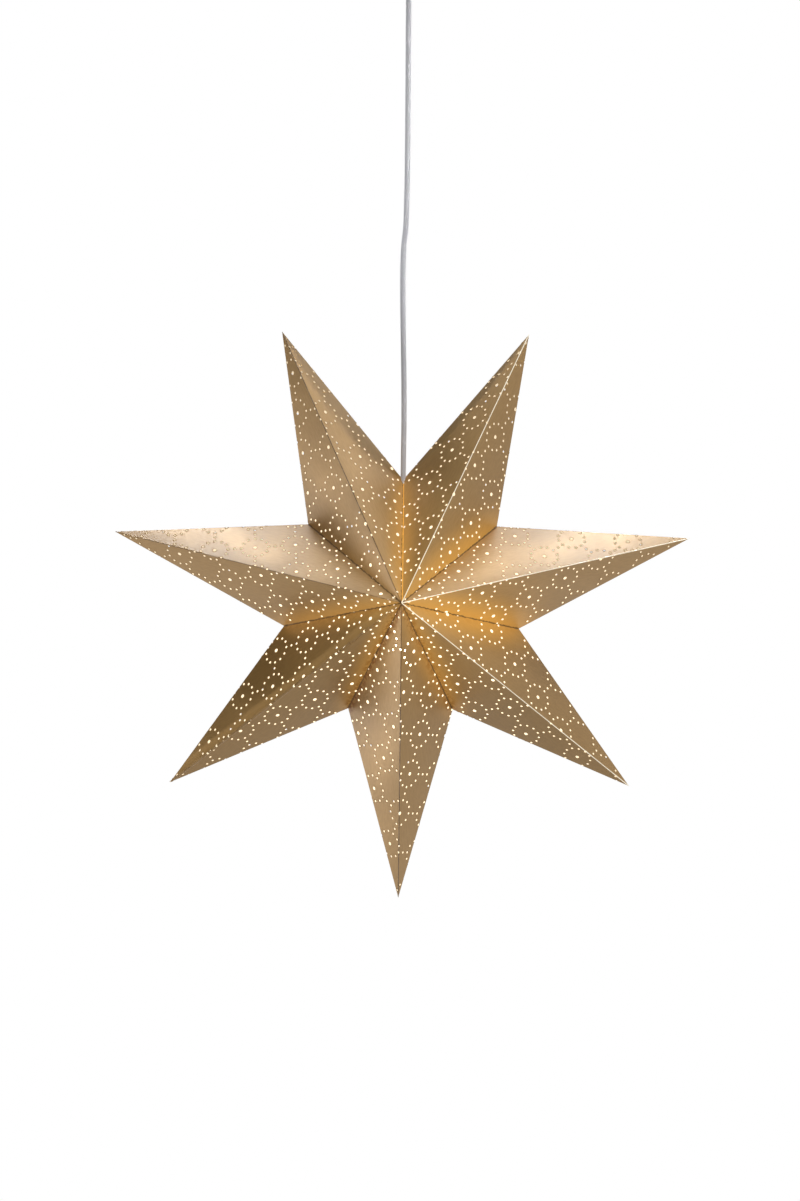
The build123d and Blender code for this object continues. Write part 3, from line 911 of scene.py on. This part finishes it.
def fold_blank(sheet, panels, blank, depth):
    """Fold the cut blank into the star, with the values that its finish needs."""
    sheet_map, fold_map, edge_map = (
        sheet.loops.layers.uv.new(name) for name in ("sheet", "folds", "edge")
    )
    names = ("seam_light", "slit_glow", "edge_roll", "ridge_roll", "glue")
    layers = [sheet.loops.layers.float.new(name) for name in names]
    moved = {}
    for face in sheet.faces:
        panel = panel_at(panels, face.calc_center_median())
        side, front = panel.side > 0, not panel.behind
        values = (
            blank.seam_light[side],
            blank.slit_glow * side,
            blank.edge_roll[side] * front,
            blank.ridge_roll[side] * front,
            blank.glue[side],
        )
        for loop in face.loops:
            local = panel.local(loop.vert.co)
            loop[sheet_map].uv = loop.vert.co.xy
            loop[fold_map].uv = panel.fold_distances(local)
            loop[edge_map].uv = panel.edge_place(local)
            for layer, value in zip(layers, values):
                loop[layer] = value
            moved[loop.vert] = panel.folded(local, blank) - loop.vert[depth] * panel.out
    for vertex, place in moved.items():
        vertex.co = place
    sheet.normal_update()


def folded_point(flat, angle, paper, blank):
    """Cut one point's blank out of its punched sheet and fold it into the star."""
    panels = [Panel(angle, side, behind) for side in (1, -1) for behind in (False, True)]
    sheet = bmesh.new()
    sheet.from_mesh(flat)
    depth = press_rims(sheet, paper)
    cut_blank(sheet, panels, paper, blank)
    fold_blank(sheet, panels, blank, depth)
    outwards = [face.normal.dot(face.calc_center_median() - STAR_MIDDLE) for face in sheet.faces]
    if sum(facing < 0 for facing in outwards) > len(outwards) / 2:
        bmesh.ops.reverse_faces(sheet, faces=sheet.faces[:])
    return mesh_of("folded point", sheet)


def thickened(name, mesh, paper, blank, outside, inside):
    """A piece of paper with two sides from its outer surface."""
    mesh.materials.append(outside)
    mesh.materials.append(inside)
    sheet = linked("single sheet", mesh)
    solid = sheet.modifiers.new("Sheet", "SOLIDIFY")
    solid.thickness = paper.sheet
    solid.offset = -1
    solid.material_offset = 1
    finished = evaluated_mesh(sheet)
    bpy.data.objects.remove(sheet)
    finished.shade_smooth()
    finished.set_sharp_from_angle(angle=CREASE_ANGLE)
    ridge_shading = finished.attributes.new("ridge_painted_light", "FLOAT", "POINT")
    ridge_shading.data.foreach_set("value", [blank.ridge_painted_light] * len(finished.vertices))
    return linked(name, finished)


# Operators


class STAR_OT_points(bpy.types.Operator):
    """Punch, cut and fold the seven points of the star"""

    bl_idname = "advent_star.points"
    bl_label = "Fold the points"

    def execute(self, context):
        paper = context.scene.star_paper
        outside, inside = gold_paper(paper), lamplit_paper(paper)
        tree = punched_sheet_tree()
        for index, name in enumerate(POINT_NAMES):
            angle = -math.pi / 2 + index * POINT_STEP
            blank = BLANKS[name]
            flat = punched_sheet(tree, paper, blank)
            mesh = folded_point(flat, angle, paper, blank)
            point = thickened(f"{name}_folded_paper", mesh, paper, blank, outside, inside)
            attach(point, "star")
            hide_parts(f"{name}_point")
        return {"FINISHED"}


class STAR_OT_hanger(bpy.types.Operator):
    """Finish the wire hanger and the two spring clips"""

    bl_idname = "advent_star.hanger"
    bl_label = "Finish the hanger"

    def execute(self, context):
        steel = bare_metal("spring_steel", (0.56, 0.55, 0.53))
        for node in ("hanger_wire", "front_clip", "back_clip"):
            dress(node, steel)
        return {"FINISHED"}


class STAR_OT_cord(bpy.types.Operator):
    """Hang the cord between the ceiling fitting and the lamp holder"""

    bl_idname = "advent_star.cord"
    bl_label = "Hang the cord"

    def execute(self, context):
        lamp = context.scene.star_lamp
        low, high = (corner.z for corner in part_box("cord_drop"))
        pivot = high - lamp.cord_diameter / 2
        # Sideways set of the cord, by its height above the star's middle
        route = (
            (0, low),
            (0, STAR_MIDDLE.z + 0.129),
            (0.0004, STAR_MIDDLE.z + 0.215),
            (-0.0028, STAR_MIDDLE.z + 0.323),
            (-0.0028, STAR_MIDDLE.z + 0.376),
            (0.0012, STAR_MIDDLE.z + 0.404),
            (0, STAR_MIDDLE.z + 0.630),
            (0, pivot),
        )
        curve = bpy.data.curves.new("hanging_cord", "CURVE")
        curve.dimensions = "3D"
        curve.bevel_depth = lamp.cord_diameter / 2
        curve.bevel_resolution = 6
        curve.use_fill_caps = True
        spline = curve.splines.new("NURBS")
        spline.points.add(len(route) - 1)
        for point, (sideways, height) in zip(spline.points, route):
            point.co = (sideways, 0, height, 1)
        spline.order_u = 3
        spline.use_endpoint_u = True
        spline.resolution_u = 16
        cord = linked("hanging_cord", curve)
        sheath = cord_sheath(lamp)
        curve.materials.append(sheath)
        dress("cord_tail", sheath)
        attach(cord, "pendant")
        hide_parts("cord_drop")
        return {"FINISHED"}


class STAR_OT_ceiling_fitting(bpy.types.Operator):
    """Finish the ceiling plate, the cup and what is inside it"""

    bl_idname = "advent_star.ceiling_fitting"
    bl_label = "Finish the ceiling fitting"

    def execute(self, context):
        lamp = context.scene.star_lamp
        painted = moulded("white_cup", lamp.white, 0.35)
        plastic = moulded("white_plastic", lamp.white)
        plated = bare_metal("plated_steel", (0.62, 0.61, 0.58), 0.35)
        self.turn_cup(lamp, painted)
        dress("cord_outlet", plastic, 0.0006)
        dress("outlet_nut", plastic, 0.0004)
        dress("terminal_block", plastic, 0.0006)
        dress("ceiling_plate", plated, 0.0003)
        dress("cup_screws", plated, 0.0004)
        live = moulded("live_core", (0.16, 0.065, 0.03))
        neutral = moulded("neutral_core", (0.03, 0.1, 0.36))
        for place in ("ceiling", "holder"):
            dress(f"{place}_live_core", live)
            dress(f"{place}_neutral_core", neutral)
        return {"FINISHED"}

    def turn_cup(self, lamp, material):
        """The enamelled cup as a turned piece, smooth all the way round."""
        low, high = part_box("ceiling_cup")
        radius, floor, rim = high.x, low.z, high.z
        wall, edge, bore = lamp.cup_wall, lamp.cup_edge, lamp.outlet_thread / 2
        outline = (
            (radius, rim),
            (radius, floor + edge),
            (radius - edge, floor),
            (bore, floor),
            (bore, floor + wall),
            (radius - edge, floor + wall),
            (radius - wall, floor + edge),
            (radius - wall, rim),
        )
        cup = turned("enamelled_cup", outline, material)
        soften(cup, 0.0007)
        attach(cup, "ceiling")
        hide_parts("ceiling_cup")


class STAR_OT_lamp_holder(bpy.types.Operator):
    """Finish the lamp holder inside the star"""

    bl_idname = "advent_star.lamp_holder"
    bl_label = "Finish the lamp holder"

    def execute(self, context):
        plastic = bpy.data.materials["white_plastic"]
        brass = bare_metal("brass", (0.72, 0.5, 0.2))
        porcelain = moulded("porcelain", (0.82, 0.8, 0.75), 0.22)
        for node in ("holder_cap", "holder_body", "shade_ring", "cord_grip"):
            dress(node, plastic, 0.0004)
        dress("holder_insert", porcelain, 0.0003)
        for node in ("screw_shell", "centre_contact", "holder_terminals"):
            dress(node, brass)
        return {"FINISHED"}


class STAR_OT_bulb(bpy.types.Operator):
    """Finish the bulb"""

    bl_idname = "advent_star.bulb"
    bl_label = "Finish the bulb"

    def execute(self, context):
        dress("bulb_globe", opal(context.scene.star_lamp), 0.0015)
        cap = bare_metal("cap_metal", (0.66, 0.65, 0.63), 0.25)
        dress("bulb_cap", cap, 0.0003)
        dress("bulb_contact", cap)
        dress("bulb_insulator", moulded("cap_insulator", (0.02, 0.02, 0.022), 0.3))
        return {"FINISHED"}


# Soft lights and dark cards, with their place from the star's middle and size in metres
LIGHTS = {
    "Top light": ((0.50, 0.26, 1.9), 0.26),
    "Low light": ((0.95, 0.2, -1.0), 0.7),
    "Front light": ((1.2, -1.9, 0.5), 0.8),
    "Cord light": ((1.1, -1.2, 1.08), 0.2),
    "Left light": ((-1.8, 0.1, -0.46), 0.75),
    "Right light": ((1.25, 0.25, 1.35), 0.8),
}
CARDS = {
    "dark_card_left": (-1.1, 0.2, 0.68),
    "dark_card_left_behind": (-0.9, 0.85, 0.6),
    "dark_card_right_behind": (0.9, 0.85, 0.5),
}
CARD_SIZE = 0.5
CORD_TARGET = STAR_MIDDLE + Vector((0, 0, 0.48))
CORD_SPREAD = math.radians(18)
PICTURE_SHIFT = -0.0014  # sideways, as a share of the picture's longer side


def soft_light(name, power, side=1, target=STAR_MIDDLE, spread=math.pi, colour=(1, 1, 1)):
    """A square soft light in its place, or across from it with side -1, that faces a target."""
    (sideways, depth, height), size = LIGHTS[name]
    light = bpy.data.lights.new(name, "AREA")
    light.shape = "SQUARE"
    light.color = colour
    light.size = size
    light.energy = power
    light.spread = spread
    lamp = linked(name, light)
    lamp.visible_camera = False
    place = STAR_MIDDLE + Vector((side * sideways, depth, height))
    lamp.location = place
    lamp.rotation_euler = (target - place).to_track_quat("-Z", "Y").to_euler()


def seen_white(tree):
    """A factor that is 1 for what the camera, a reflection or glass sees."""
    rays = add_node(tree, "ShaderNodeLightPath").outputs
    names = ("Is Camera Ray", "Is Glossy Ray", "Is Transmission Ray")
    return worked_out(tree, "MAXIMUM", *(rays[name] for name in names))


class STAR_OT_stage(bpy.types.Operator):
    """Set up the floor, the plain white surroundings, the lights and the camera"""

    bl_idname = "advent_star.stage"
    bl_label = "Set the stage"

    def execute(self, context):
        scene = context.scene
        stage = scene.star_stage
        self.lay_floor(stage)
        self.surround(scene, stage)
        for side in (-1, 1):
            # The right one is a little stronger
            power = stage.top_power * (1.02 + 0.03 * side)
            soft_light("Top light", power, side, colour=stage.top_colour)
            soft_light("Low light", stage.low_power, side)
        soft_light("Front light", stage.front_power)
        soft_light("Cord light", stage.cord_power, target=CORD_TARGET, spread=CORD_SPREAD)
        soft_light("Left light", stage.left_power)
        soft_light("Right light", stage.right_power)
        for name, place in CARDS.items():
            self.hang_flag(name, STAR_MIDDLE + Vector(place))
        self.place_camera(scene, stage)
        scene.view_settings.view_transform = "Standard"
        return {"FINISHED"}

    def hang_flag(self, name, place):
        """A dark card beside the lights, which only the paper's sheen shows."""
        card = bmesh.new()
        bmesh.ops.create_grid(card, x_segments=1, y_segments=1, size=CARD_SIZE)
        turn = (STAR_MIDDLE - place).to_track_quat("Z", "Y").to_matrix().to_4x4()
        bmesh.ops.transform(card, matrix=Matrix.Translation(place) @ turn, verts=card.verts)
        mesh = mesh_of(name, card)
        mesh.materials.append(new_finish(name, (0.02, 0.02, 0.02), 0.9)[0])
        flag = linked(name, mesh)
        flag.visible_camera = False

    def lay_floor(self, stage):
        """A pale floor that keeps the lamp's shadow and runs out into the white surroundings."""
        middle = STAR_MIDDLE - Vector((0, 0, stage.floor_drop))
        grid = bmesh.new()
        bmesh.ops.create_grid(grid, x_segments=1, y_segments=1, size=4)
        bmesh.ops.translate(grid, verts=grid.verts, vec=middle)
        mesh = mesh_of("studio_floor", grid)
        floor = linked("studio_floor", mesh)
        material, tree, shader = new_finish("pale_floor", (0.80, 0.80, 0.80), 0.9)
        shader.inputs["Emission Color"].default_value = (1, 1, 1, 1)
        seen = seen_white(tree)
        added = times(tree, seen, stage.floor_white)
        tree.links.new(added, shader.inputs["Emission Strength"])
        edge = times(tree, seen, ranged(tree, distance_from(tree, middle), 0.5, 1.7, 0, 1))
        white = add_node(tree, "ShaderNodeEmission")
        share = add_node(tree, "ShaderNodeMixShader", fac=edge)
        tree.links.new(shader.outputs["BSDF"], share.inputs[1])
        tree.links.new(white.outputs["Emission"], share.inputs[2])
        tree.links.new(share.outputs["Shader"], tree.nodes["Material Output"].inputs["Surface"])
        mesh.materials.append(material)

    def surround(self, scene, stage):
        """A plain world: white where it is seen, and softer as a light."""
        world = bpy.data.worlds.new("Plain studio")
        world.use_nodes = True
        tree = world.node_tree
        level = add_node(tree, "ShaderNodeMapRange", value=seen_white(tree), to_min=stage.ambient)
        background = tree.nodes["Background"].inputs
        background["Color"].default_value = (1, 1, 1, 1)
        tree.links.new(level.outputs["Result"], background["Strength"])
        scene.world = world

    def place_camera(self, scene, stage):
        """A camera at the photograph's viewing angle."""
        view = bpy.data.cameras.new("Photograph")
        view.lens = stage.lens
        view.sensor_width = 36
        view.shift_x = PICTURE_SHIFT
        camera = linked("Photograph", view)
        back = Vector((0, -math.cos(stage.elevation), math.sin(stage.elevation)))
        tilt = Euler((math.pi / 2 - stage.elevation, 0, 0)).to_matrix()
        turn = (tilt @ Matrix.Rotation(stage.roll, 3, "Z")).to_4x4()
        camera.matrix_world = Matrix.Translation(STAR_MIDDLE + stage.distance * back) @ turn
        scene.camera = camera


class STAR_PT_panel(bpy.types.Panel):
    """The star's settings and the operators that make its pieces"""

    bl_idname = "STAR_PT_panel"
    bl_label = "Advent star"
    bl_space_type = "VIEW_3D"
    bl_region_type = "UI"
    bl_category = "Advent star"

    def draw(self, context):
        for settings in ("star_paper", "star_lamp", "star_stage"):
            group = getattr(context.scene, settings)
            box = self.layout.box()
            for name in group.__annotations__:
                box.prop(group, name)
        for operator in OPERATORS:
            self.layout.operator(operator.bl_idname)


OPERATORS = (
    STAR_OT_cord,
    STAR_OT_points,
    STAR_OT_hanger,
    STAR_OT_ceiling_fitting,
    STAR_OT_lamp_holder,
    STAR_OT_bulb,
    STAR_OT_stage,
)
SETTINGS = {
    "star_paper": StarPaperSettings,
    "star_lamp": LampSettings,
    "star_stage": StageSettings,
}


def register():
    for group in SETTINGS.values():
        bpy.utils.register_class(group)
    for name, group in SETTINGS.items():
        setattr(bpy.types.Scene, name, PointerProperty(type=group))
    for operator in OPERATORS:
        bpy.utils.register_class(operator)
    bpy.utils.register_class(STAR_PT_panel)


def unregister():
    bpy.utils.unregister_class(STAR_PT_panel)
    for operator in reversed(OPERATORS):
        bpy.utils.unregister_class(operator)
    for name, group in SETTINGS.items():
        delattr(bpy.types.Scene, name)
        bpy.utils.unregister_class(group)


def main():
    register()
    bpy.ops.advent_star.cord()
    bpy.ops.advent_star.points()
    bpy.ops.advent_star.hanger()
    bpy.ops.advent_star.ceiling_fitting()
    bpy.ops.advent_star.lamp_holder()
    bpy.ops.advent_star.bulb()
    bpy.ops.advent_star.stage()


if __name__ == "__main__":
    main()
